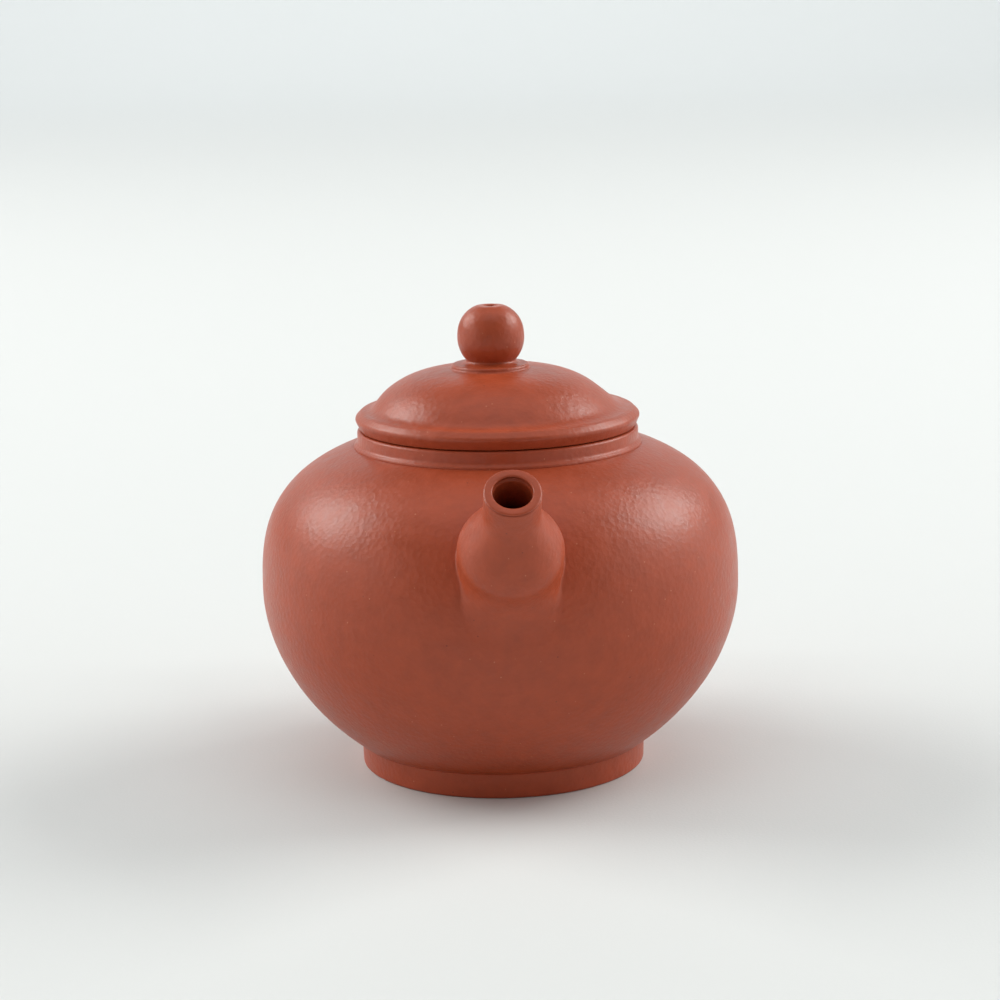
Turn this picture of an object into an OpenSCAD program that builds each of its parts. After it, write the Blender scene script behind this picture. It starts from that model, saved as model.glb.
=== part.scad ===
// Small slab-built clay teapot: a beaten globular body on a foot ring, a short one-bend spout,
// an ear handle and a lift-off lid with a ball knob.
// The origin is the centre of the foot ring's standing face and +Z is up.
// The spout points along -Y and the handle along +Y. All sizes are in millimetres.

/* [Body] */
// Widest diameter of the belly
belly_d = 80; // [66:1:100]
// Height of the widest line above the table
belly_z = 31; // [25:0.5:38]
// Thickness of the beaten clay wall
wall_t = 2.6; // [2:0.1:3.4]
// Fullness of the shoulder curve, where 2 is an ellipse
shoulder_power = 2.78; // [2.2:0.02:3.2]
// Fullness of the curve under the belly
under_power = 1.88; // [1.7:0.02:2.4]
// Thickness of the base disc
base_t = 2.8; // [2:0.1:3.6]
// Height of the shoulder disc, from its seam with the wall to the seat of the neck ring
shoulder_h = 3.9; // [3:0.1:5]

/* [Foot ring] */
// Outer diameter of the foot ring
foot_d = 48.4; // [38:0.5:60]
// Height of the foot ring
foot_h = 4.4; // [2.5:0.1:6]
// Thickness of the foot ring
foot_t = 3.4; // [2:0.1:5]

/* [Neck] */
// Height of the pot's rim above the table
rim_z = 57.5; // [52:0.5:70]
// Outer diameter of the neck ring
neck_d = 47; // [38:0.5:57]
// Height of the neck ring
neck_h = 2.8; // [2:0.1:5]
// Thickness of the neck ring
neck_t = 3.7; // [2.6:0.1:5]

/* [Lid] */
// Height of the fine gap between the lid and the rim
lid_gap = 0.15; // [0.1:0.05:0.3]
// How far the lid's edge stands out past the neck ring
lid_overhang = 0.25; // [0:0.05:1]
// Thickness of the lid's edge
lid_edge_t = 2.85; // [2.2:0.05:4]
// Height of the dome above the lid's edge
dome_h = 7; // [5:0.1:11]
// Fullness of the dome, where 2 is a round cap and more is flatter on top and steeper at the foot
dome_power = 3.9; // [2:0.1:5]
// Thickness of the dome
dome_t = 2.6; // [2:0.1:3.4]
// Depth of the flange that drops into the mouth
flange_h = 9; // [6:0.5:14]
// Thickness of the flange
flange_t = 2; // [1.5:0.1:2.8]
// Clearance all round between the flange and the mouth
flange_clearance = 0.2; // [0.1:0.05:0.4]

/* [Knob] */
// Diameter of the ball
knob_d = 11.2; // [9:0.1:14]
// Diameter of the raised pad under the knob
pad_d = 12.8; // [11:0.1:16]
// Height of the raised pad
pad_h = 0.75; // [0.5:0.05:1.5]
// How far the ball's centre stands above the pad
knob_rise = 4.4; // [3.6:0.1:4.8]
// Diameter of the vent hole
vent_d = 2; // [1.5:0.1:2.6]

/* [Spout] */
// How far the centre of the spout's mouth lies out past the belly
spout_reach = 10; // [7:0.5:16]
// How far the centre of the spout's mouth lies below the rim
spout_below_rim = 1; // [0:0.5:4]
// Upward angle at which the spout ends
spout_tip_angle = 50; // [40:1:60]
// Upward angle at which the spout leaves the body
spout_root_angle = 38; // [28:1:46]
// How far the spout's root lies below the rim
spout_root_below_rim = 14.5; // [11.5:0.5:19.5]
// Outer diameter of the spout's tip
spout_tip_d = 8.8; // [7:0.1:11]
// Outer diameter of the spout's bulb where it meets the body
spout_root_d = 17.2; // [14:0.1:20]
// Thickness of the spout at its lip
spout_lip_t = 1.35; // [1:0.05:1.8]
// Thickness of the spout at its root
spout_root_t = 2.4; // [1.8:0.1:3]
// Diameter of each strainer hole behind the spout
strainer_hole_d = 2.4; // [1.6:0.1:2.8]

/* [Handle] */
// How far the handle's outside lies out past the belly
handle_reach = 24; // [19:0.5:29]
// Thickness of the handle at its outermost point
handle_d = 6.8; // [5.5:0.1:8.5]
// Thickness of the handle at its upper root
handle_top_d = 8.2; // [6.5:0.1:9.5]
// Thickness of the handle at its lower root
handle_low_d = 6.4; // [5:0.1:8]
// Height of the upper root
handle_top_z = 46.5; // [43:0.5:48]
// Height of the handle's outermost point
handle_out_z = 40; // [35:0.5:46]
// Height of the lower root
handle_low_z = 19; // [16:0.5:23]

/* [Hidden] */
$fn = 96;

clay = "#a65a43";
clay_light = "#b5664c";
clay_dark = "#8f4734";

outline_steps = 18;
fillet_steps = 5;
soft_edge = 0.5;
cut_past = 1;

// The body's outline is two quarter curves that meet at the belly. Each is as high as it has to be
// to run into the foot ring below and the neck ring above, with a small step to either ring.
ring_step = 0.4;
belly_r = belly_d / 2;
foot_r = foot_d / 2;
neck_r = neck_d / 2;
mouth_r = neck_r - neck_t;
seat_z = rim_z - neck_h;
base_top_z = foot_h + base_t;
seam_z = seat_z - shoulder_h;

function full_height(height, radius, power) =
    height / pow(1 - pow(radius / belly_r, power), 1 / power);
upper_h = full_height(seat_z - belly_z, neck_r + 2 * ring_step, shoulder_power);
lower_h = full_height(belly_z - foot_h, foot_r + ring_step, under_power);

function quarter(width, height, power, from, to) = [
    for (i = [0:outline_steps])
        let (angle = from + (to - from) * i / outline_steps)
        [width * pow(cos(angle), 2 / power), height * pow(sin(angle), 2 / power)]
];
function angle_at_height(z, height, power) = asin(pow(z / height, power / 2));
function angle_at_radius(r, width, power) = acos(pow(r / width, power / 2));
function raised(points, z) = [for (p = points) [p[0], p[1] + z]];
function hung(points, z) = [for (p = points) [p[0], z - p[1]]];
function reversed(points) = [for (i = [len(points) - 1:-1:0]) points[i]];

// Outline above the belly between two heights, and below the belly from the belly down to a height.
// inset is the wall's thickness on the inside face and 0 on the outside face.
function upper_outline(from_z, to_z, inset) = raised(
    quarter(belly_r - inset, upper_h - inset, shoulder_power,
        angle_at_height(from_z - belly_z, upper_h - inset, shoulder_power),
        angle_at_height(to_z - belly_z, upper_h - inset, shoulder_power)), belly_z);
function lower_outline(from_z, to_z, inset) = hung(
    quarter(belly_r - inset, lower_h - inset, under_power,
        angle_at_height(belly_z - from_z, lower_h - inset, under_power),
        angle_at_height(belly_z - to_z, lower_h - inset, under_power)), belly_z);
inner_mouth_angle = angle_at_radius(mouth_r, belly_r - wall_t, shoulder_power);
inner_mouth_z = belly_z + (upper_h - wall_t) * pow(sin(inner_mouth_angle), 2 / shoulder_power);

// Radius of the body's outer face at a height.
function body_r(z) = z > belly_z
    ? belly_r * pow(1 - pow((z - belly_z) / upper_h, shoulder_power), 1 / shoulder_power)
    : belly_r * pow(1 - pow((belly_z - z) / lower_h, under_power), 1 / under_power);
// Upward angle of the outer face's normal at a height.
function body_normal(z) =
    let (dz = 0.5)
    atan2(body_r(z - dz) - body_r(z + dz), 2 * dz);

// The spout and the handle are swept in the YZ plane. A point there is [out, up], where out is the
// distance from the pot's axis, and a station is [out, up, direction, radius].
function heading(angle) = [cos(angle), sin(angle)];
function bezier(a, b, c, d, t) =
    pow(1 - t, 3) * a + 3 * t * pow(1 - t, 2) * b + 3 * t * t * (1 - t) * c + pow(t, 3) * d;
function bezier_angle(a, b, c, d, t) =
    let (v = pow(1 - t, 2) * (b - a) + 2 * t * (1 - t) * (c - b) + t * t * (d - c))
    atan2(v[1], v[0]);
function blend(from, to, t) =
    let (u = min(1, max(0, t)))
    from + (to - from) * u * u * (3 - 2 * u);
function station(point, angle, radius) = [point[0], point[1], angle, radius];

module sweep(stations, side, sides) {
    rings = len(stations);
    points = [
        for (s = stations, i = [0:sides - 1])
            let (turn = 360 * i / sides, rise = s[3] * sin(turn))
            [s[3] * cos(turn), side * (s[0] - rise * sin(s[2])), s[1] + rise * cos(s[2])]
    ];
    walls = [
        for (k = [0:rings - 2], i = [0:sides - 1])
            let (a = k * sides + i, b = k * sides + (i + 1) % sides)
            each [[a, b, b + sides], [a, b + sides, a + sides]]
    ];
    ends = [[for (i = [sides - 1:-1:0]) i], [for (i = [0:sides - 1]) (rings - 1) * sides + i]];
    faces = concat(walls, ends);
    polyhedron(points, side > 0 ? faces : [for (f = faces) reversed(f)], convexity = 6);
}

// Spout: from its root on the body's outer face to its mouth.
spout_steps = 12;
spout_sides = 28;
spout_root_z = rim_z - spout_root_below_rim;
spout_root = [body_r(spout_root_z), spout_root_z];
spout_mouth = [belly_r + spout_reach, rim_z - spout_below_rim];
spout_length = norm(spout_mouth - spout_root);
spout_lead = spout_length / 3;
spout_sink = spout_root_d / 2;
lip_round = 0.4;

function spout_point(t) = bezier(spout_root, spout_root + spout_lead * heading(spout_root_angle),
    spout_mouth - spout_lead * heading(spout_tip_angle), spout_mouth, t);
function spout_angle(t) = bezier_angle(spout_root,
    spout_root + spout_lead * heading(spout_root_angle),
    spout_mouth - spout_lead * heading(spout_tip_angle), spout_mouth, t);
function spout_radius(t) = blend(spout_root_d, spout_tip_d, t) / 2;
function bore_radius(t) =
    spout_radius(t) - blend(spout_root_t, spout_lip_t, t);

function spout_stations() = concat(
    [station(spout_root - spout_sink * heading(spout_root_angle), spout_root_angle,
        spout_root_d / 2)],
    [for (i = [0:spout_steps - 1])
        let (t = i / spout_steps)
        station(spout_point(t), spout_angle(t), spout_radius(t))],
    [station(spout_mouth - lip_round * heading(spout_tip_angle), spout_tip_angle,
        spout_tip_d / 2)],
    [station(spout_mouth, spout_tip_angle, spout_tip_d / 2 - lip_round / 2)]);
function bore_stations() = concat(
    [station(spout_root - spout_sink * heading(spout_root_angle), spout_root_angle,
        bore_radius(0))],
    [for (i = [0:spout_steps])
        let (t = i / spout_steps)
        station(spout_point(t), spout_angle(t), bore_radius(t))],
    [station(spout_mouth + cut_past * heading(spout_tip_angle), spout_tip_angle,
        bore_radius(1))]);

// Strainer: one hole on the spout's axis and a ring of six around it. The ring shares out the clay
// that is left between the middle hole and the spout's bore, so the holes never run together.
strainer_ring_count = 6;
strainer_clay = bore_radius(0) - 1.5 * strainer_hole_d;
strainer_ring_r = strainer_hole_d + 0.54 * strainer_clay;

// Handle: from its upper root, over the top, down past its outermost point and in to its lower root.
handle_steps = 11;
handle_sides = 20;
handle_top_angle = 46;
handle_low_angle = 188;
handle_sink = handle_top_d;
handle_top = [body_r(handle_top_z), handle_top_z];
handle_low = [body_r(handle_low_z), handle_low_z];
handle_out = [belly_r + handle_reach - handle_d / 2, handle_out_z];
top_lead = 0.62 * (handle_out[0] - handle_top[0]);
low_lead = 0.62 * (handle_out[0] - handle_low[0]);
down_lead = 0.68 * (handle_out_z - handle_low_z);

function top_curve(t) = bezier(handle_top, handle_top + top_lead * heading(handle_top_angle),
    handle_out + [0, down_lead], handle_out, t);
function top_curve_angle(t) = bezier_angle(handle_top,
    handle_top + top_lead * heading(handle_top_angle),
    handle_out + [0, down_lead], handle_out, t);
function low_curve(t) = bezier(handle_out, handle_out - [0, down_lead],
    handle_low - low_lead * heading(handle_low_angle), handle_low, t);
function low_curve_angle(t) = bezier_angle(handle_out, handle_out - [0, down_lead],
    handle_low - low_lead * heading(handle_low_angle), handle_low, t);

function handle_stations() = concat(
    [station(handle_top - handle_sink * heading(handle_top_angle), handle_top_angle,
        handle_top_d / 2)],
    [for (i = [0:handle_steps])
        let (t = i / handle_steps)
        station(top_curve(t), top_curve_angle(t), blend(handle_top_d, handle_d, t) / 2)],
    [for (i = [1:handle_steps])
        let (t = i / handle_steps)
        station(low_curve(t), low_curve_angle(t), blend(handle_d, handle_low_d, t) / 2)],
    [station(handle_low + handle_sink * heading(handle_low_angle), handle_low_angle,
        handle_low_d / 2)]);

// Soft clay coils pressed into the corners where the spout and the handle meet the body.
coil_d = 2.4;
coil_sides = 24;

// Lid levels and radii, from the rim and the neck ring up.
lid_bottom_z = rim_z + lid_gap;
lid_top_z = lid_bottom_z + lid_edge_t;
lid_r = neck_r + lid_overhang;
lid_undercut = 0.8;
lid_round = 1.3;
flange_r = mouth_r - flange_clearance;
flange_inner_r = flange_r - flange_t;
dome_foot_r = lid_r - lid_round;
fillet_w = 2.4;
fillet_h = 1.1;
cap_r = dome_foot_r - fillet_w;
cap_rise = dome_h - fillet_h;
crown_z = lid_top_z + dome_h;
// Height of the dome at a radius. The outside falls to the fillet, and the inside falls to the
// ring's bore, which is as wide as the flange's.
function dome_z(r) = crown_z - cap_rise * pow(r / cap_r, dome_power);
function hollow_z(r) = crown_z - dome_t - (dome_h - dome_t) * pow(r / flange_inner_r, dome_power);
pad_r = pad_d / 2;
pad_seat_z = dome_z(pad_r);
pad_top_z = pad_seat_z + pad_h;

// Knob: a ball with a short flared foot below it and a small flat around the vent hole.
knob_r = knob_d / 2;
knob_z = pad_top_z + knob_rise;
knob_flat_r = vent_d / 2 + 0.8;
knob_low_angle = -asin(0.84 * knob_rise / knob_r);
knob_top_angle = acos(knob_flat_r / knob_r);
knob_foot_r = knob_r * cos(knob_low_angle) + soft_edge;

// Solid of revolution that fills the body's outer face, which trims what is luted onto it. Its
// outline runs over the base disc, the wall and the shoulder disc, so that faces meet all over.
module body_core() {
    rotate_extrude()
        polygon(concat([[0, foot_h]],
            reversed(lower_outline(base_top_z, foot_h, 0)),
            reversed(lower_outline(belly_z, base_top_z, 0)),
            upper_outline(belly_z, seam_z, 0),
            upper_outline(seam_z, seat_z, 0),
            [[0, seat_z]]));
}

// Round slab that closes the body's underside inside the foot ring.
module base_disc() {
    color(clay_dark)
        rotate_extrude()
        polygon(concat([[0, foot_h]], reversed(lower_outline(base_top_z, foot_h, 0)),
            [[0, base_top_z]]));
}

// Slab bent into a tube and beaten round, pierced behind the spout.
module body_wall() {
    color(clay)
        difference() {
            rotate_extrude()
                polygon(concat(
                    reversed(lower_outline(belly_z, base_top_z, 0)),
                    upper_outline(belly_z, seam_z, 0),
                    reversed(upper_outline(belly_z, seam_z, wall_t)),
                    lower_outline(belly_z, base_top_z, wall_t)));
            strainer_holes();
        }
}

module strainer_holes() {
    translate([0, -spout_root[0], spout_root[1]])
        rotate([90 - spout_root_angle, 0, 0]) {
            strainer_hole();
            for (i = [0:strainer_ring_count - 1])
                rotate([0, 0, i * 360 / strainer_ring_count])
                    translate([strainer_ring_r, 0, 0])
                        strainer_hole();
        }
}

module strainer_hole() {
    cylinder(d = strainer_hole_d, h = 6 * wall_t, center = true, $fn = 32);
}

// Round slab that closes the top of the wall, cut out for the mouth and scraped flat for the neck.
module shoulder_disc() {
    color(clay)
        rotate_extrude()
        polygon(concat(
            upper_outline(seam_z, seat_z, 0),
            [[mouth_r, seat_z]],
            reversed(upper_outline(seam_z, inner_mouth_z, wall_t))));
}

module foot_ring() {
    inner_r = foot_r - foot_t;
    color(clay_dark)
        rotate_extrude()
        polygon([[inner_r + soft_edge, 0], [foot_r - 2 * soft_edge, 0],
            [foot_r - soft_edge / 2, soft_edge], [foot_r, foot_h],
            [inner_r, foot_h], [inner_r, soft_edge]]);
}

module neck_ring() {
    color(clay)
        rotate_extrude()
        polygon([[mouth_r, seat_z], [neck_r + ring_step, seat_z], [neck_r, seat_z + 2 * ring_step],
            [neck_r, rim_z - soft_edge], [neck_r - soft_edge, rim_z], [mouth_r, rim_z]]);
}

module spout() {
    color(clay_light)
        difference() {
            sweep(spout_stations(), -1, spout_sides);
            sweep(bore_stations(), -1, spout_sides);
            body_core();
        }
}

module coil(root_z, side, across) {
    translate([0, side * body_r(root_z), root_z])
        rotate([side * (body_normal(root_z) - 90), 0, 0])
            rotate_extrude()
            translate([across / 2, 0])
                circle(d = coil_d, $fn = coil_sides);
}

module spout_root_coil() {
    color(clay_light)
        difference() {
            coil(spout_root_z, -1, spout_root_d);
            sweep(spout_stations(), -1, spout_sides);
            body_core();
        }
}

module handle() {
    color(clay_light)
        difference() {
            sweep(handle_stations(), 1, handle_sides);
            body_core();
        }
}

module handle_top_coil() {
    color(clay_light)
        difference() {
            coil(handle_top_z, 1, handle_top_d);
            sweep(handle_stations(), 1, handle_sides);
            body_core();
        }
}

module handle_low_coil() {
    color(clay_light)
        difference() {
            coil(handle_low_z, 1, handle_low_d);
            sweep(handle_stations(), 1, handle_sides);
            body_core();
        }
}

// Collar under the lid that keeps it centred in the mouth while the pot is tipped.
module lid_flange() {
    low_z = lid_bottom_z - flange_h;
    color(clay_dark)
        rotate_extrude()
        polygon([[flange_inner_r, low_z], [flange_r - soft_edge, low_z],
            [flange_r, low_z + soft_edge], [flange_r, lid_bottom_z],
            [flange_inner_r, lid_bottom_z]]);
}

// Flat ring that makes the lid's edge and rests over the neck ring.
module lid_ring() {
    half_t = lid_edge_t / 2;
    color(clay)
        rotate_extrude()
        polygon(concat([[flange_inner_r, lid_bottom_z], [lid_r - lid_undercut, lid_bottom_z]],
            [for (i = [0:fillet_steps])
                let (angle = 90 * i / fillet_steps)
                [lid_r - lid_round * (1 - cos(angle)), lid_top_z - half_t * (1 - sin(angle))]],
            [[flange_inner_r, lid_top_z]]));
}

// Domed slab on the ring, with a concave sweep at its foot, scraped flat for the knob's pad.
module lid_dome() {
    foot_slope = dome_power * cap_rise / cap_r;
    corner_r = cap_r + fillet_h / foot_slope;
    color(clay)
        difference() {
            rotate_extrude()
                polygon(concat(
                    [for (i = [0:fillet_steps])
                        let (t = i / fillet_steps)
                        pow(1 - t, 2) * [dome_foot_r, lid_top_z]
                            + 2 * t * (1 - t) * [corner_r, lid_top_z]
                            + t * t * [cap_r, lid_top_z + fillet_h]],
                    [for (i = [1:outline_steps])
                        let (r = cap_r + (pad_r - cap_r) * i / outline_steps)
                        [r, dome_z(r)]],
                    [[0, pad_seat_z]],
                    [for (i = [0:outline_steps])
                        let (r = flange_inner_r * i / outline_steps)
                        [r, hollow_z(r)]]));
            vent();
        }
}

module vent() {
    low_z = pad_seat_z - 2 * dome_t;
    translate([0, 0, low_z])
        cylinder(d = vent_d, h = knob_z + knob_r - low_z, $fn = 32);
}

module knob_pad() {
    color(clay_light)
        difference() {
            rotate_extrude()
                polygon([[0, pad_seat_z], [pad_r, pad_seat_z], [pad_r, pad_top_z - soft_edge / 2],
                    [pad_r - soft_edge / 2, pad_top_z], [0, pad_top_z]]);
            vent();
        }
}

module knob() {
    color(clay_light)
        difference() {
            rotate_extrude()
                polygon(concat([[0, pad_top_z], [knob_foot_r, pad_top_z]],
                    [for (i = [0:outline_steps])
                        let (angle = knob_low_angle
                            + (knob_top_angle - knob_low_angle) * i / outline_steps)
                        [knob_r * cos(angle), knob_z + knob_r * sin(angle)]],
                    [[0, knob_z + knob_r * sin(knob_top_angle)]]));
            vent();
        }
}

base_disc();
body_wall();
shoulder_disc();
foot_ring();
neck_ring();
spout();
spout_root_coil();
handle();
handle_top_coil();
handle_low_coil();
lid_flange();
lid_ring();
lid_dome();
knob_pad();
knob();
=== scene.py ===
import math

import bmesh
import bpy
from mathutils import Matrix, Quaternion, Vector, noise


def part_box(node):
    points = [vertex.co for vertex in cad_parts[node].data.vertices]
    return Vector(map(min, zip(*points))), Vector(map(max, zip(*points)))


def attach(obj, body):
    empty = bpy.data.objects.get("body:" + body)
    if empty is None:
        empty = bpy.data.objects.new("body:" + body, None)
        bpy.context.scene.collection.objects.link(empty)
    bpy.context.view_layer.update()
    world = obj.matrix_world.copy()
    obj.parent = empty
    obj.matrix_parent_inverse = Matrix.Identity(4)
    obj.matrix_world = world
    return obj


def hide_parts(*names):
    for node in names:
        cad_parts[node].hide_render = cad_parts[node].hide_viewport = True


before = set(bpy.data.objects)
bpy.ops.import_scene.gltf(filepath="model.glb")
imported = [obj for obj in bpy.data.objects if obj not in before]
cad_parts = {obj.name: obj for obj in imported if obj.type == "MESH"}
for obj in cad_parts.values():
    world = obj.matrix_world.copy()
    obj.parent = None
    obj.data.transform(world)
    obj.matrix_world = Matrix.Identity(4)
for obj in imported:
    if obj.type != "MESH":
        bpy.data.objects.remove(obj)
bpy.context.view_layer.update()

MM = 0.001
scene = bpy.context.scene


# Camera. A long lens stands back from the table at about the height of a seated guest's eyes and
# looks a little down on the pot. The spout comes towards it, turned slightly to the right.
camera_distance = 450 * MM
camera_height_angle = math.radians(11.85)
camera_side_angle = math.radians(-2.4)
camera_roll = math.radians(-1.1)
camera_aim = Vector((0.17, 0, 44.8)) * MM

camera = bpy.data.objects.new("camera", bpy.data.cameras.new("camera"))
scene.collection.objects.link(camera)
camera.data.lens = 96.2
camera.data.clip_start = 0.01
backwards = Vector((
    math.sin(camera_side_angle) * math.cos(camera_height_angle),
    -math.cos(camera_side_angle) * math.cos(camera_height_angle),
    math.sin(camera_height_angle)))
camera.location = camera_aim + camera_distance * backwards
camera.rotation_mode = "QUATERNION"
camera.rotation_quaternion = (
    backwards.to_track_quat("Z", "Y") @ Quaternion((0, 0, 1), camera_roll))
scene.camera = camera
scene.view_settings.view_transform = "Standard"


# Table and backdrop. One length of plain white cotton lies under the pot and rises behind it in a
# wide bend, so that no edge shows. The weave is 0.5 mm, and slow dents 30 mm across stay in the cloth.
def linear(hex_colour):
    """An sRGB hex colour as linear red, green, blue and alpha."""
    parts = [int(hex_colour[i:i + 2], 16) / 255 for i in (1, 3, 5)]
    return [c / 12.92 if c <= 0.04045 else ((c + 0.055) / 1.055) ** 2.4 for c in parts] + [1]


def add(tree, kind, settings=None, **inputs):
    """Adds a node with its settings. An input is a value, or a link as (node, output name)."""
    made = tree.nodes.new(kind)
    for name, value in (settings or {}).items():
        setattr(made, name, value)
    for name, value in inputs.items():
        socket = made.inputs[int(name[1:])] if name[1:].isdigit() else made.inputs[name.replace("_", " ")]
        if isinstance(value, tuple) and isinstance(value[0], bpy.types.Node):
            tree.links.new(value[0].outputs[value[1]], socket)
        else:
            socket.default_value = value
    return made


def new_material(name):
    """An empty node material and its output node."""
    material = bpy.data.materials.new(name)
    material.use_nodes = True
    material.node_tree.nodes.clear()
    return material, material.node_tree, material.node_tree.nodes.new("ShaderNodeOutputMaterial")


def white_cotton():
    """Plain woven cotton, washed but not pressed, which looks flat and soft and takes no shine."""
    material, tree, output = new_material("white_woven_cotton")
    place = add(tree, "ShaderNodeTexCoord")
    dents = add(tree, "ShaderNodeTexNoise", Vector=(place, "Object"), Scale=1 / (30 * MM), Detail=3.0)
    weave = add(tree, "ShaderNodeTexNoise", Vector=(place, "Object"), Scale=1 / (0.5 * MM), Detail=2.0)
    slow = add(tree, "ShaderNodeBump", Strength=0.25, Distance=0.4 * MM, Height=(dents, "Fac"))
    fine = add(tree, "ShaderNodeBump", Strength=0.35, Distance=0.08 * MM, Height=(weave, "Fac"),
               Normal=(slow, "Normal"))
    cotton = add(tree, "ShaderNodeBsdfPrincipled", Base_Color=linear("#d5d7d6"), Roughness=0.9,
                 Normal=(fine, "Normal"))
    tree.links.new(cotton.outputs["BSDF"], output.inputs["Surface"])
    return material


def hang_backdrop():
    """The cloth, flat under the pot and standing behind it, with a round bend between the two."""
    table_front, table_back, bend, width, top = -0.9, 2.0, 1.0, 6.0, 2.4
    bend_steps = 16
    line = [(table_front, 0.0), (table_back, 0.0)]
    for i in range(1, bend_steps + 1):
        angle = math.radians(90 * i / bend_steps)
        line.append((table_back + bend * math.sin(angle), bend * (1 - math.cos(angle))))
    line.append((table_back + bend, top))
    mesh = bmesh.new()
    rows = [[mesh.verts.new((side * width / 2, y, z)) for side in (-1, 1)] for y, z in line]
    for low, high in zip(rows, rows[1:]):
        mesh.faces.new((low[0], low[1], high[1], high[0]))
    data = bpy.data.meshes.new("backdrop")
    mesh.to_mesh(data)
    mesh.free()
    data.shade_smooth()
    cloth = bpy.data.objects.new("backdrop", data)
    data.materials.append(white_cotton())
    scene.collection.objects.link(cloth)


hang_backdrop()


# Light. Two soft lamps stand behind the pot's sides, a third of the way up, and light its shoulders.
# Pale walls beside it and a weak panel above fill in, and one wide lamp washes the rising cloth. The
# room is dim, so the pot's front stays darker.
warm_white = "#fffefb"
cool_white = "#f8fcff"
cloth_bend = Vector((0, 2.8, 0.3))


def hang_light(name, aim, direction, distance, size, power, colour):
    """A flat lamp of a width and height, at a distance and direction from what it's aimed at."""
    lamp = bpy.data.lights.new(name, "AREA")
    lamp.shape = "RECTANGLE"
    lamp.size, lamp.size_y = size
    lamp.energy = power
    lamp.color = linear(colour)[:3]
    held = bpy.data.objects.new(name, lamp)
    towards = Vector(direction).normalized()
    held.location = aim + distance * towards
    held.rotation_mode = "QUATERNION"
    held.rotation_quaternion = towards.to_track_quat("Z", "Y")
    scene.collection.objects.link(held)


hang_light("left_lamp", camera_aim, (-0.77, 0.34, 0.57), 1.8, (1.2, 0.85), 21.0, warm_white)
hang_light("right_lamp", camera_aim, (0.79, 0.27, 0.57), 1.8, (1.2, 0.85), 22.0, warm_white)
hang_light("left_wall", camera_aim, (-1.0, -0.05, 0.3), 1.6, (2.4, 1.0), 9.0, warm_white)
hang_light("right_wall", camera_aim, (1.0, -0.05, 0.3), 1.6, (2.4, 1.0), 9.0, warm_white)
hang_light("top_panel", camera_aim, (0.0, -0.1, 1.0), 1.3, (1.3, 1.3), 4.6, cool_white)
hang_light("back_wash", cloth_bend, (0.0, -0.35, 0.85), 1.25, (3.4, 0.9), 25.0, cool_white)
room = bpy.data.worlds.new("dim_room")
scene.world = room
room.use_nodes = True
air = room.node_tree.nodes["Background"]
air.inputs["Color"].default_value = linear("#f2f8f8")
air.inputs["Strength"].default_value = 0.25


# Body. A slab of red clay bent into a tube and beaten round with a paddle, closed by a disc at the
# base and one at the shoulder, then scraped and burnished until no seam shows. Pierced by seven
# strainer holes behind the spout.
belly_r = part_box("body_wall")[1][0] + 0.15 * MM
belly_z = 31 * MM
wall = 2.6 * MM
foot_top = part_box("foot_ring")[1][2]
foot_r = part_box("foot_ring")[1][0] - 0.1 * MM
floor_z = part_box("base_disc")[1][2]
seat_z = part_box("neck_ring")[0][2]
rim_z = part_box("neck_ring")[1][2]
neck_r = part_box("neck_ring")[1][0] - 0.4 * MM
neck_foot_r = neck_r + 0.8 * MM
mouth_r = neck_r - 3.7 * MM
foot_join_r = foot_r + 0.4 * MM
shoulder_power = 2.78
under_power = 1.88
around = 192


def full_height(height, radius, power):
    """How far a curve would run to reach the axis, if it has a radius at a height."""
    return height / (1 - (radius / belly_r) ** power) ** (1 / power)


upper_h = full_height(seat_z - belly_z, neck_foot_r, shoulder_power)
lower_h = full_height(belly_z - foot_top, foot_join_r, under_power)


def skin_r(z):
    """Radius of the body's outer face at a height."""
    if z > belly_z:
        return belly_r * max(0, 1 - ((z - belly_z) / upper_h) ** shoulder_power) ** (1 / shoulder_power)
    return belly_r * max(0, 1 - ((belly_z - z) / lower_h) ** under_power) ** (1 / under_power)


def quarter_curve(width, height, power, from_r, to_r, steps):
    """Points (r, height) on a quarter of the body's outline between two radii."""
    start, end = (math.acos(min(1, (r / width) ** (power / 2))) for r in (from_r, to_r))
    angles = [start + (end - start) * i / steps for i in range(steps + 1)]
    return [(width * math.cos(a) ** (2 / power), height * math.sin(a) ** (2 / power)) for a in angles]


def soften(corners, steps=6):
    """Points of an outline whose corners (r, z, radius) are rounded off by arcs."""
    points = []
    for i, (r, z, radius) in enumerate(corners):
        here = Vector((r, z))
        if radius == 0:
            points.append((r, z))
            continue
        back = (Vector(corners[i - 1][:2]) - here).normalized()
        on = (Vector(corners[(i + 1) % len(corners)][:2]) - here).normalized()
        half = back.angle(on) / 2
        centre = here + (back + on).normalized() * radius / math.sin(half)
        first = here + back * radius / math.tan(half) - centre
        last = here + on * radius / math.tan(half) - centre
        sweep = first.angle_signed(last)
        for k in range(steps + 1):
            points.append(tuple(centre + Matrix.Rotation(-sweep * k / steps, 2) @ first))
    return points


def hand_worked(point):
    """A point moved by the slow unevenness that beating and scraping leave, under 0.1 mm."""
    outward = Vector((point.x, point.y, 0))
    if outward.length > 0.1 * MM:
        outward.normalize()
    paddle_marks = 0.07 * noise.noise(point / (19 * MM))
    scraper_marks = 0.03 * noise.noise(point / (7 * MM) + Vector((3, 5, 7)))
    return point + outward * (paddle_marks + scraper_marks) * MM


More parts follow.
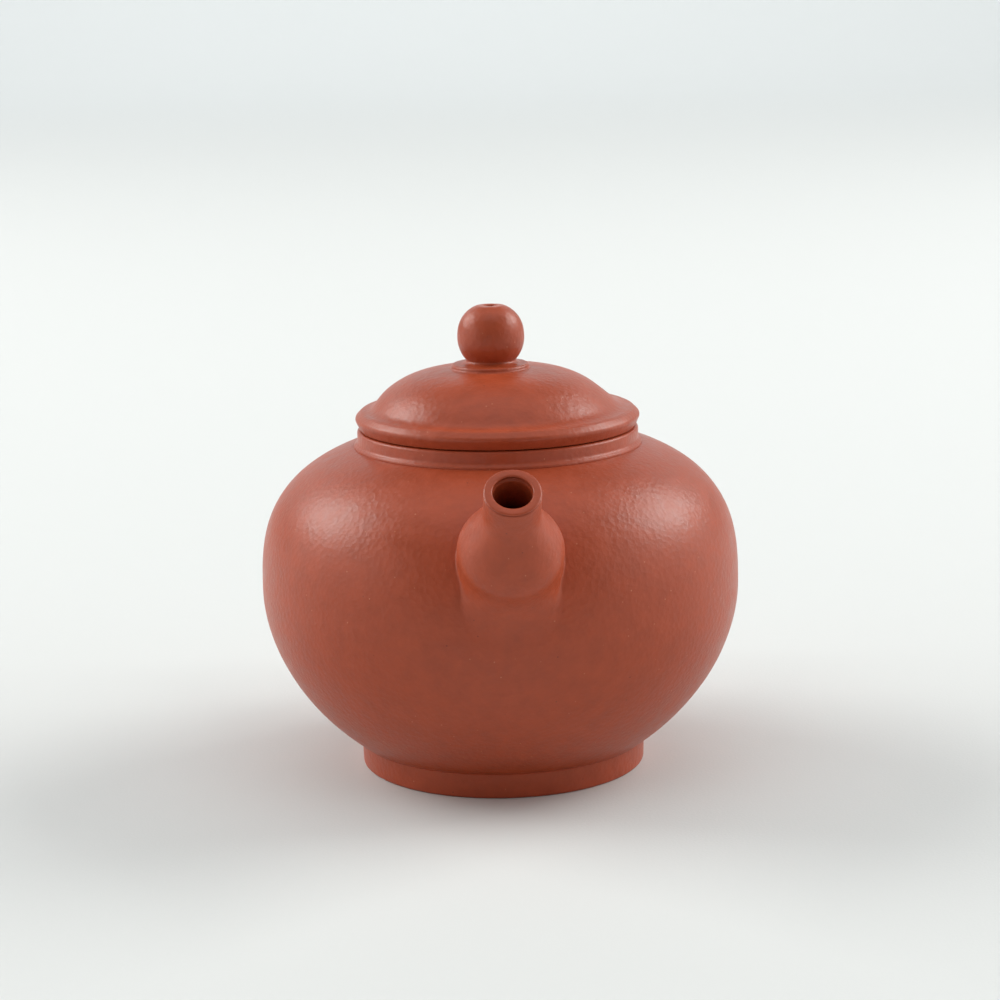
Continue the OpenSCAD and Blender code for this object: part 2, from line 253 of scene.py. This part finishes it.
def finish_mesh(name, mesh, materials, body, slot, *nodes):
    """Turns a mesh into a smooth piece that rides on a body and stands for CAD nodes."""
    bmesh.ops.remove_doubles(mesh, verts=mesh.verts, dist=0.001 * MM)
    bmesh.ops.recalc_face_normals(mesh, faces=mesh.faces)
    data = bpy.data.meshes.new(name)
    mesh.to_mesh(data)
    mesh.free()
    data.shade_smooth()
    for material in materials:
        data.materials.append(material)
    piece = bpy.data.objects.new(name, data)
    scene.collection.objects.link(piece)
    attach(piece, body)
    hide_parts(*nodes)
    return piece


def turn(outline, inside=(), shift=lambda r: 0, turns=around):
    """A closed solid of revolution. Points in the range inside get the second material, and shift
    gives how far a ring of radius r sits to one side."""
    mesh = bmesh.new()
    rings = []
    for r, z in outline:
        count = 1 if r < 0.001 * MM else turns
        ring = []
        for k in range(count):
            angle = 2 * math.pi * k / turns
            point = Vector((shift(r) + r * math.cos(angle), r * math.sin(angle), z))
            ring.append(mesh.verts.new(hand_worked(point)))
        rings.append(ring)
    for i, ring in enumerate(rings):
        other = rings[(i + 1) % len(rings)]
        if len(ring) == 1 and len(other) == 1:
            continue
        for k in range(turns):
            corners = [ring[k % len(ring)], ring[(k + 1) % len(ring)],
                       other[(k + 1) % len(other)], other[k % len(other)]]
            face = mesh.faces.new(list(dict.fromkeys(corners)))
            face.material_index = 1 if i in inside else 0
    return mesh


def red_clay(name, burnished):
    """Red Yixing clay, a fine iron-rich stoneware, unglazed. Rubbing with a horn tool closes the
    surface to a low satin sheen over a grain of 0.3 mm. Pale quartz and dark iron specks show in it.
    Where it isn't rubbed it stays matt and open."""
    smoothest, roughest = (0.32, 0.42) if burnished else (0.72, 0.85)
    pit_depth, grain_depth = (0.085 * MM, 0.055 * MM) if burnished else (0.12 * MM, 0.13 * MM)
    material, tree, output = new_material(name)
    place = add(tree, "ShaderNodeTexCoord")
    kiln = add(tree, "ShaderNodeTexNoise", Vector=(place, "Object"), Scale=1 / (26 * MM), Detail=2.0)
    mottle = add(tree, "ShaderNodeTexNoise", Vector=(place, "Object"), Scale=1 / (2.6 * MM), Detail=4.0,
                 Roughness=0.6)
    grain = add(tree, "ShaderNodeTexNoise", Vector=(place, "Object"), Scale=1 / (0.35 * MM), Detail=3.0,
                Roughness=0.65)
    pits = add(tree, "ShaderNodeTexVoronoi", Vector=(place, "Object"), Scale=1 / (0.9 * MM))
    warm = add(tree, "ShaderNodeMix", {"data_type": "RGBA"}, _0=(kiln, "Fac"),
               _6=linear("#a04326"), _7=linear("#aa4828"))
    shade = add(tree, "ShaderNodeMapRange", Value=(mottle, "Fac"), From_Min=0.3, From_Max=0.7,
                To_Min=0.9, To_Max=1.06)
    mottled = add(tree, "ShaderNodeMix", {"data_type": "RGBA", "blend_type": "MULTIPLY"}, _0=1.0,
                  _6=(warm, 2), _7=(shade, "Result"))
    quartz = add(tree, "ShaderNodeTexVoronoi", Vector=(place, "Object"), Scale=1 / (2.2 * MM))
    pale = add(tree, "ShaderNodeMapRange", Value=(quartz, "Distance"), From_Min=0.03, From_Max=0.07,
               To_Min=0.5, To_Max=0.0)
    specked = add(tree, "ShaderNodeMix", {"data_type": "RGBA"}, _0=(pale, "Result"), _6=(mottled, 2),
                  _7=linear("#cf8a68"))
    iron = add(tree, "ShaderNodeTexVoronoi", Vector=(place, "Object"), Scale=1 / (3.7 * MM))
    dark = add(tree, "ShaderNodeMapRange", Value=(iron, "Distance"), From_Min=0.02, From_Max=0.045,
               To_Min=0.6, To_Max=0.0)
    coloured = add(tree, "ShaderNodeMix", {"data_type": "RGBA"}, _0=(dark, "Result"), _6=(specked, 2),
                   _7=linear("#4a2118"))
    gloss = add(tree, "ShaderNodeMapRange", Value=(mottle, "Fac"), From_Min=0.3, From_Max=0.7,
                To_Min=smoothest, To_Max=roughest)
    dimple = add(tree, "ShaderNodeBump", Strength=0.5, Distance=pit_depth, Height=(pits, "Distance"))
    rough = add(tree, "ShaderNodeBump", Strength=0.6, Distance=grain_depth, Height=(grain, "Fac"),
                Normal=(dimple, "Normal"))
    clay = add(tree, "ShaderNodeBsdfPrincipled", Base_Color=(coloured, 2), Roughness=(gloss, "Result"),
               IOR=1.42, Normal=(rough, "Normal"))
    tree.links.new(clay.outputs["BSDF"], output.inputs["Surface"])
    return material


burnished_clay = red_clay("burnished_red_clay", True)
open_clay = red_clay("open_red_clay", False)

outside = [(r, belly_z - h) for r, h in
           quarter_curve(belly_r, lower_h, under_power, foot_join_r, belly_r, 48)]
outside += [(r, belly_z + h) for r, h in
            quarter_curve(belly_r, upper_h, shoulder_power, belly_r, neck_foot_r, 48)[1:]]
inner_lower_h = lower_h - wall
inner_r = belly_r - wall
floor_r = inner_r * (1 - ((belly_z - floor_z) / inner_lower_h) ** under_power) ** (1 / under_power)
inside = [(r, belly_z + h) for r, h in
          quarter_curve(inner_r, upper_h - wall, shoulder_power, mouth_r, inner_r, 28)]
inside += [(r, belly_z - h) for r, h in
           quarter_curve(inner_r, inner_lower_h, under_power, inner_r, floor_r + 1.5 * MM, 28)[1:]]
body_outline = ([(0, foot_top)] + outside + [(mouth_r, seat_z)] + inside
                + [(floor_r - 0.5 * MM, floor_z + 0.2 * MM), (floor_r - 2.5 * MM, floor_z), (0, floor_z)])
first_inside = len(outside) + 1
body_piece = finish_mesh("body", turn(body_outline, inside=range(first_inside, len(body_outline))),
                         [burnished_clay, open_clay], "pot", "clay",
                         "body_wall", "shoulder_disc", "base_disc")


def pierce(piece, centre, along, places, hole_r, depth):
    """Cuts round holes through a piece. places are the holes' offsets across the direction along."""
    drill = bmesh.new()
    lie = along.to_track_quat("Z", "Y").to_matrix().to_4x4()
    for x, y in places:
        bmesh.ops.create_cone(drill, cap_ends=True, segments=24, radius1=hole_r, radius2=hole_r,
                              depth=depth, matrix=Matrix.Translation(centre) @ lie
                              @ Matrix.Translation((x, y, 0)))
    data = bpy.data.meshes.new("drill")
    drill.to_mesh(data)
    drill.free()
    for material in piece.data.materials:
        data.materials.append(material)
    data.polygons.foreach_set("material_index", [1] * len(data.polygons))
    tool = bpy.data.objects.new("drill", data)
    scene.collection.objects.link(tool)
    cut = piece.modifiers.new("pierced", "BOOLEAN")
    cut.operation = "DIFFERENCE"
    cut.solver = "EXACT"
    cut.object = tool
    bpy.context.view_layer.update()
    seen = piece.evaluated_get(bpy.context.evaluated_depsgraph_get())
    pierced = bpy.data.meshes.new_from_object(seen)
    piece.modifiers.clear()
    piece.data = pierced
    bpy.data.objects.remove(tool)


strainer_hole_r = 1.2 * MM
strainer_pitch = 3.55 * MM
strainer_z = 43 * MM
spout_root_slope = 38
drill_length = 14 * MM
strainer_slope = math.radians(spout_root_slope)
strainer_places = [(0, 0)] + [(strainer_pitch * math.cos(math.radians(60 * i)),
                               strainer_pitch * math.sin(math.radians(60 * i))) for i in range(6)]
pierce(body_piece, Vector((0, -skin_r(strainer_z), strainer_z)),
       Vector((0, -math.cos(strainer_slope), math.sin(strainer_slope))),
       strainer_places, strainer_hole_r, drill_length)


# Foot ring. A coil of the same clay luted under the base and turned true, with its standing edge
# rounded by hand. A small soft groove is left where it meets the body.
foot_t = 3.4 * MM
foot_corners = [
    (foot_r - foot_t, foot_top + 0.4 * MM, 0),
    (foot_r - foot_t, 0, 0.6 * MM),
    (foot_r - 0.15 * MM, 0, 0.5 * MM),
    (foot_r, foot_top - 0.2 * MM, 0.5 * MM),
    (skin_r(foot_top + 0.5 * MM), foot_top + 0.5 * MM, 0),
    (skin_r(foot_top + 0.9 * MM) - 0.15 * MM, foot_top + 0.9 * MM, 0)]
finish_mesh("foot_ring", turn(soften(foot_corners)), [burnished_clay], "pot", "clay", "foot_ring")


# Neck ring. A flat coil luted round the mouth and scraped upright, with a soft edge at the rim and
# a small bead of slip smoothed out on the shoulder.
neck_corners = [
    (mouth_r, seat_z, 0),
    (mouth_r, rim_z, 0.6 * MM),
    (neck_r, rim_z, 0.45 * MM),
    (neck_r, seat_z + 0.8 * MM, 0.6 * MM),
    (neck_r + 0.5 * MM, seat_z + 0.4 * MM, 0.15 * MM),
    (neck_r + 0.75 * MM, seat_z - 0.25 * MM, 0)]
finish_mesh("neck_ring", turn(soften(neck_corners)), [burnished_clay], "pot", "clay", "neck_ring")


# Spout. Rolled from a cone of clay, pierced, bent once while soft and luted on over the strainer.
# A thin coil pressed round its root is rubbed out to nothing, so it grows out of the body.
def heading(degrees):
    """The direction (out, up) at an angle above level."""
    return Vector((math.cos(math.radians(degrees)), math.sin(math.radians(degrees))))


def bezier(a, b, c, d, t):
    """A point on the curve from a to d that b and c pull on."""
    return (1 - t) ** 3 * a + 3 * t * (1 - t) ** 2 * b + 3 * t * t * (1 - t) * c + t ** 3 * d


def bezier_heading(a, b, c, d, t):
    """The direction of the same curve."""
    return ((1 - t) ** 2 * (b - a) + 2 * t * (1 - t) * (c - b) + t * t * (d - c)).normalized()


def ease(start, end, t):
    """A value that goes smoothly from start to end while t goes from 0 to 1."""
    t = min(1, max(0, t))
    return start + (end - start) * t * t * (3 - 2 * t)


def ring_point(centre, direction, radius, angle, side):
    """A point on a round section. The plane of the sweep holds centre and direction as (out, up)."""
    rise = radius * math.sin(angle)
    return Vector((radius * math.cos(angle), side * (centre.x - rise * direction.y),
                   centre.y + rise * direction.x))


def skin_gap(point):
    """Distance of a point outside the body's outer face, and the face's normal there."""
    r = math.hypot(point.x, point.y)
    height, power = (upper_h, shoulder_power) if point.z > belly_z else (lower_h, under_power)
    lift = (point.z - belly_z) / height
    across = r / belly_r
    slope_r = power * across ** (power - 1) / belly_r
    slope_z = math.copysign(power * abs(lift) ** (power - 1) / height, lift)
    slope = math.hypot(slope_r, slope_z)
    normal = Vector((point.x / r * slope_r, point.y / r * slope_r, slope_z)) / slope
    return (across ** power + abs(lift) ** power - 1) / slope, normal


def onto_skin(point, depth=0):
    """The point of the body's outer face nearest to a point, sunk by a depth."""
    for _ in range(4):
        gap, normal = skin_gap(point)
        point = point - gap * normal
    return point - depth * normal


def luted_end(line, root, reach, spread):
    """Ends a line of points that runs into the body. Its last stretch, of length reach, is rubbed out
    into a curve that turns onto the body's face, away from the root by spread, and sinks under it."""
    gaps = [skin_gap(p)[0] for p in line]
    last = next(i for i, gap in enumerate(gaps) if gap < 0)
    share = gaps[last - 1] / (gaps[last - 1] - gaps[last])
    corner = line[last - 1].lerp(line[last], share)
    keep = [p for p in line[:last] if (p - corner).length > reach]
    normal = skin_gap(corner)[1]
    away = corner - root
    outwards = (away - away.dot(normal) * normal).normalized()
    foot = onto_skin(corner + spread * outwards)
    pull, steps = 0.6, 10
    start = keep[-1]
    inner = start.lerp(corner, pull)
    outer = foot.lerp(corner, pull)
    skirt = [bezier(start, inner, outer, foot, i / steps) for i in range(1, steps + 1)]
    for step, depth in ((0.5, 0.02), (1.1, 0.07), (1.6, 0.2)):
        skirt.append(onto_skin(foot + step * MM * outwards, depth * MM))
    return keep, skirt


spout_side = -1
spout_around = 96
spout_steps = 40
spout_tip_r = 4.4 * MM
spout_bulb_r = 8.35 * MM
bulb_tuck = 0.2 * MM    # how far the bulb draws in again at its root
lip_t = 1.35 * MM
root_t = 2.4 * MM
spout_root_z = 43.6 * MM
spout_root = Vector((skin_r(spout_root_z), spout_root_z))
spout_mouth = Vector((belly_r + 9.9 * MM, rim_z - 1.0 * MM))
spout_length = (spout_mouth - spout_root).length
spout_neck_back = 0.27 * spout_length
spout_bulb_back = 0.86 * spout_length
spout_mouth_slope = 50
spout_curve = (spout_root, spout_root + spout_length / 3 * heading(spout_root_slope),
               spout_mouth - spout_length / 3 * heading(spout_mouth_slope), spout_mouth)


def spout_station(back):
    """Centre, direction, outer and bore radius at a distance back from the spout's mouth."""
    t = 1 - back / spout_length
    if t >= 0:
        centre = bezier(*spout_curve, t)
        direction = bezier_heading(*spout_curve, t)
    else:
        direction = heading(spout_root_slope)
        centre = spout_root + t * spout_length * direction
    outer = ease(spout_tip_r, spout_bulb_r, (back - spout_neck_back) / (spout_bulb_back - spout_neck_back))
    outer -= ease(0, bulb_tuck, (back - spout_bulb_back) / (spout_length - spout_bulb_back))
    return centre, direction, outer, outer - ease(lip_t, root_t, 1 - t)


def make_spout():
    """Columns of points that run out of the bore, over the lip and down to the rubbed-out root."""
    buried_length = 7 * MM
    hidden_depth = 0.4 * MM
    lip_round = 0.5 * MM
    lip_steps = 12
    depth = spout_length + buried_length
    mouth_centre, mouth_heading, mouth_outer, mouth_bore = spout_station(0)
    middle = (mouth_outer + mouth_bore) / 2
    half = (mouth_outer - mouth_bore) / 2
    root = Vector((0, spout_side * spout_root.x, spout_root.y))
    columns = []
    for k in range(spout_around):
        angle = 2 * math.pi * k / spout_around
        lip = []
        for i in range(lip_steps + 1):
            over = math.pi * i / lip_steps
            radius = middle - half * math.copysign(abs(math.cos(over)) ** 0.5, math.cos(over))
            back = lip_round * (1 - math.sin(over) ** 0.5)
            lip.append(ring_point(mouth_centre - back * mouth_heading, mouth_heading, radius, angle,
                                  spout_side))
        bore = []
        outside_line = []
        for i in range(1, spout_steps + 1):
            back = lip_round + (depth - lip_round) * i / spout_steps
            centre, direction, outer, hollow = spout_station(back)
            outside_line.append(ring_point(centre, direction, outer, angle, spout_side))
            bore.append(ring_point(centre, direction, hollow, angle, spout_side))
        under = -math.sin(angle)
        reach = ease(0.7, 5.7, (under - 0.2) / 0.8) * MM
        spread = ease(0.45, 5.0, (under - 0.35) / 0.65) * MM
        keep, skirt = luted_end([lip[-1]] + outside_line, root, reach, spread)
        bore_end = next(i for i, p in enumerate(bore) if skin_gap(p)[0] < -hidden_depth)
        hidden = onto_skin(bore[bore_end], hidden_depth)
        bore_points = resample(bore[:bore_end] + [hidden], spout_steps)
        columns.append(bore_points[::-1] + lip[:-1][::-1] + resample(keep, spout_steps) + skirt)
    mesh = bmesh.new()
    weave_columns(mesh, columns, closed=True)
    return mesh


def resample(points, count):
    """The same line with an even number of points along its length."""
    lengths = [0]
    for a, b in zip(points, points[1:]):
        lengths.append(lengths[-1] + (b - a).length)
    out, j = [], 0
    for i in range(count):
        want = lengths[-1] * i / (count - 1)
        while j < len(points) - 2 and lengths[j + 1] < want:
            j += 1
        step = lengths[j + 1] - lengths[j]
        out.append(points[j].lerp(points[j + 1], (want - lengths[j]) / step if step else 0))
    return out


def weave_columns(mesh, columns, closed):
    """Faces between neighbouring columns of points, all round. closed joins each column's ends."""
    grid = [[mesh.verts.new(hand_worked(p)) for p in column] for column in columns]
    rows = len(grid[0])
    for k, column in enumerate(grid):
        beside = grid[(k + 1) % len(grid)]
        for i in range(rows if closed else rows - 1):
            j = (i + 1) % rows
            mesh.faces.new((column[i], beside[i], beside[j], column[j]))


finish_mesh("spout", make_spout(), [burnished_clay], "pot", "clay", "spout", "spout_root_coil")


# Handle. A roll of clay bent into an ear, thicker at the shoulder than at its tail, luted at both
# ends and the joints rubbed smooth.
handle_side = 1
handle_around = 64
handle_steps = 64
handle_top_z = 46.5 * MM
handle_low_z = 19 * MM
handle_out_z = 40 * MM
handle_top_slope = 46
handle_low_slope = 188
handle_lead = 0.62
handle_top_r, handle_out_r, handle_low_r = 4.1 * MM, 3.4 * MM, 3.2 * MM
handle_top = Vector((skin_r(handle_top_z), handle_top_z))
handle_low = Vector((skin_r(handle_low_z), handle_low_z))
handle_out = Vector((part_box("handle")[1][1] - handle_out_r, handle_out_z))
down_lead = Vector((0, 0.68 * (handle_out_z - handle_low_z)))
upper_curve = (handle_top,
               handle_top + handle_lead * (handle_out.x - handle_top.x) * heading(handle_top_slope),
               handle_out + down_lead, handle_out)
lower_curve = (handle_out, handle_out - down_lead,
               handle_low - handle_lead * (handle_out.x - handle_low.x) * heading(handle_low_slope),
               handle_low)


def handle_station(share):
    """Centre, direction and radius along the handle. share runs from -0.1 to 1.1, past both roots."""
    sink = 60 * MM
    if share < 0:
        direction = heading(handle_top_slope)
        return handle_top + share * sink * direction, direction, handle_top_r
    if share > 1:
        direction = heading(handle_low_slope)
        return handle_low + (share - 1) * sink * direction, direction, handle_low_r
    if share < 0.5:
        t = share * 2
        return (bezier(*upper_curve, t), bezier_heading(*upper_curve, t),
                ease(handle_top_r, handle_out_r, t))
    t = share * 2 - 1
    return (bezier(*lower_curve, t), bezier_heading(*lower_curve, t),
            ease(handle_out_r, handle_low_r, t))


def make_handle():
    """Columns of points along the handle, each from one rubbed-out root to the other."""
    half_steps = 40
    columns = []
    for k in range(handle_around):
        angle = 2 * math.pi * k / handle_around
        line = []
        for i in range(handle_steps + 1):
            centre, direction, radius = handle_station(-0.1 + 1.2 * i / handle_steps)
            line.append(ring_point(centre, direction, radius, angle, handle_side))
        half = len(line) // 2
        ends = []
        for part, root in ((line[half::-1], handle_top), (line[half:], handle_low)):
            keep, skirt = luted_end(part, Vector((0, handle_side * root.x, root.y)),
                                    reach=1.6 * MM, spread=1.7 * MM)
            ends.append(resample(keep, half_steps) + skirt)
        columns.append(ends[0][::-1] + ends[1][1:])
    mesh = bmesh.new()
    weave_columns(mesh, columns, closed=False)
    bmesh.ops.holes_fill(mesh, edges=[e for e in mesh.edges if e.is_boundary])
    return mesh


finish_mesh("handle", make_handle(), [burnished_clay], "pot", "clay",
            "handle", "handle_top_coil", "handle_low_coil")


# Lid. A domed slab luted onto a flat ring and turned to one smooth hat, whose rounded edge hangs a
# hair over the neck. The edge tapers in towards the fine gap above the rim.
lid_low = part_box("lid_ring")[0][2]
lid_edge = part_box("lid_ring")[1][2]
lid_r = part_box("lid_ring")[1][0]
pad_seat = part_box("knob_pad")[0][2]
dome_t = 2.6 * MM
flange_inner_r = mouth_r - 2.2 * MM
dome_top = lid_edge + 7.0 * MM
vent_r = 1.0 * MM
dome_foot_r = lid_r - 3.7 * MM
dome_power = 3.9
dome_offset = -0.75 * MM


def dome_z(r):
    """Height of the dome's outer face, nearly flat on top and falling ever faster to its foot."""
    return dome_top - 5.9 * MM * (r / dome_foot_r) ** dome_power


def hollow_z(r):
    """Height of the dome's inner face, which ends at the bore of the flat ring."""
    inner_top = dome_top - dome_t
    return inner_top - (inner_top - lid_edge) * (r / flange_inner_r) ** dome_power


def lid_shift(r):
    """How far to one side of its ring the dome was set, fading out towards the edge."""
    return dome_offset * (1 - ease(0, 1, (r - 17.5 * MM) / (5.5 * MM)))


def wiped_corner(start, corner, end):
    """Points of a hollow curve wiped into a corner with a fingertip."""
    shares = [i / 8 for i in range(9)]
    return [tuple((1 - t) ** 2 * start + 2 * t * (1 - t) * corner + t * t * end) for t in shares]


def make_lid():
    """The ring's rounded edge, the dome over it and the hollow under it, in one outline."""
    dome_steps, hollow_steps = 39, 27
    brim = [
        (flange_inner_r, lid_low, 0.3 * MM),
        (lid_r - 0.75 * MM, lid_low, 0.25 * MM),
        (lid_r + 0.15 * MM, lid_edge - 1.0 * MM, 0.7 * MM),
        (lid_r - 1.0 * MM, lid_edge + 0.1 * MM, 0.7 * MM)]
    outline = soften(brim + [(lid_r - 1.6 * MM, lid_edge + 0.1 * MM, 0)])[:-1]
    start = Vector((lid_r - 1.3 * MM, lid_edge + 0.12 * MM))
    foot = Vector((dome_foot_r, dome_z(dome_foot_r)))
    corner = Vector((dome_foot_r + 0.95 * MM, lid_edge + 0.1 * MM))
    outline += wiped_corner(start, corner, foot)
    for i in range(1, dome_steps + 1):
        r = dome_foot_r + (vent_r - dome_foot_r) * i / dome_steps
        outline.append((r, dome_z(r)))
    for i in range(hollow_steps + 1):
        r = vent_r + (flange_inner_r - vent_r) * i / hollow_steps
        outline.append((r, hollow_z(r)))
    return turn(outline, shift=lid_shift)


finish_mesh("lid", make_lid(), [burnished_clay], "lid", "lid_clay", "lid_ring", "lid_dome")


# Lid flange. A strip of clay set on edge under the lid, which centres it in the mouth.
flange_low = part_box("lid_flange")[0][2]
flange_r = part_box("lid_flange")[1][0]
flange_corners = [
    (flange_inner_r, lid_low + 0.3 * MM, 0),
    (flange_inner_r, flange_low, 0.6 * MM),
    (flange_r, flange_low, 0.7 * MM),
    (flange_r, lid_low - 0.1 * MM, 0),
    (flange_r - 0.2 * MM, lid_low + 0.3 * MM, 0)]
finish_mesh("lid_flange", turn(soften(flange_corners)), [open_clay], "lid", "lid_clay", "lid_flange")


# Knob pad. A small turned disc luted on the crown of the lid, rounded at its edge and hollowed
# up to the knob's neck.
pad_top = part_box("knob_pad")[1][2]
pad_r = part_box("knob_pad")[1][0]
pad_corners = [
    (vent_r, pad_seat - 0.3 * MM, 0),
    (pad_r + 0.6 * MM, pad_seat - 0.12 * MM, 0),
    (pad_r + 0.1 * MM, pad_seat + 0.1 * MM, 0.25 * MM),
    (pad_r, pad_top, 0.45 * MM),
    (5.0 * MM, pad_top + 0.05 * MM, 0),
    (vent_r, pad_top + 0.05 * MM, 0)]
finish_mesh("knob_pad", turn(soften(pad_corners), shift=lambda r: -1.0 * MM, turns=96),
            [burnished_clay], "lid", "lid_clay", "knob_pad")


# Knob. A ball rolled in the palm and set by eye, a little to one side, with the vent hole pierced
# down through it from a small flat.
knob_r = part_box("knob")[1][0]
knob_z = pad_top + 4.4 * MM
knob_toe_r = 5.6 * MM


def make_knob():
    """The ball between its neck, 42 degrees below level, and the small flat, 68 degrees above."""
    low_angle, high_angle, ball_steps = -42, 68, 40
    neck = Vector((knob_r * math.cos(math.radians(low_angle)),
                   knob_z + knob_r * math.sin(math.radians(low_angle))))
    toe = Vector((knob_toe_r, pad_top - 0.02 * MM))
    corner = Vector((neck.x, pad_top + 0.1 * MM))
    outline = [(vent_r, pad_top - 0.1 * MM), (knob_toe_r, pad_top - 0.1 * MM)]
    outline += wiped_corner(toe, corner, neck)
    for i in range(1, ball_steps + 1):
        angle = math.radians(low_angle + (high_angle - low_angle) * i / ball_steps)
        fullness = 2.25 if angle > 0 else 2.0
        r = knob_r * abs(math.cos(angle)) ** (2 / fullness)
        z = knob_r * math.copysign(abs(math.sin(angle)) ** (2 / fullness), angle)
        outline.append((r, knob_z + z))
    flat_z = outline[-1][1]
    outline.append((vent_r + 0.35 * MM, flat_z + 0.06 * MM))
    outline.append((vent_r + 0.1 * MM, flat_z - 0.04 * MM))
    outline.append((vent_r, flat_z - 0.25 * MM))
    return turn(outline, shift=lambda r: -0.85 * MM, turns=96)


finish_mesh("knob", make_knob(), [burnished_clay], "lid", "lid_clay", "knob")
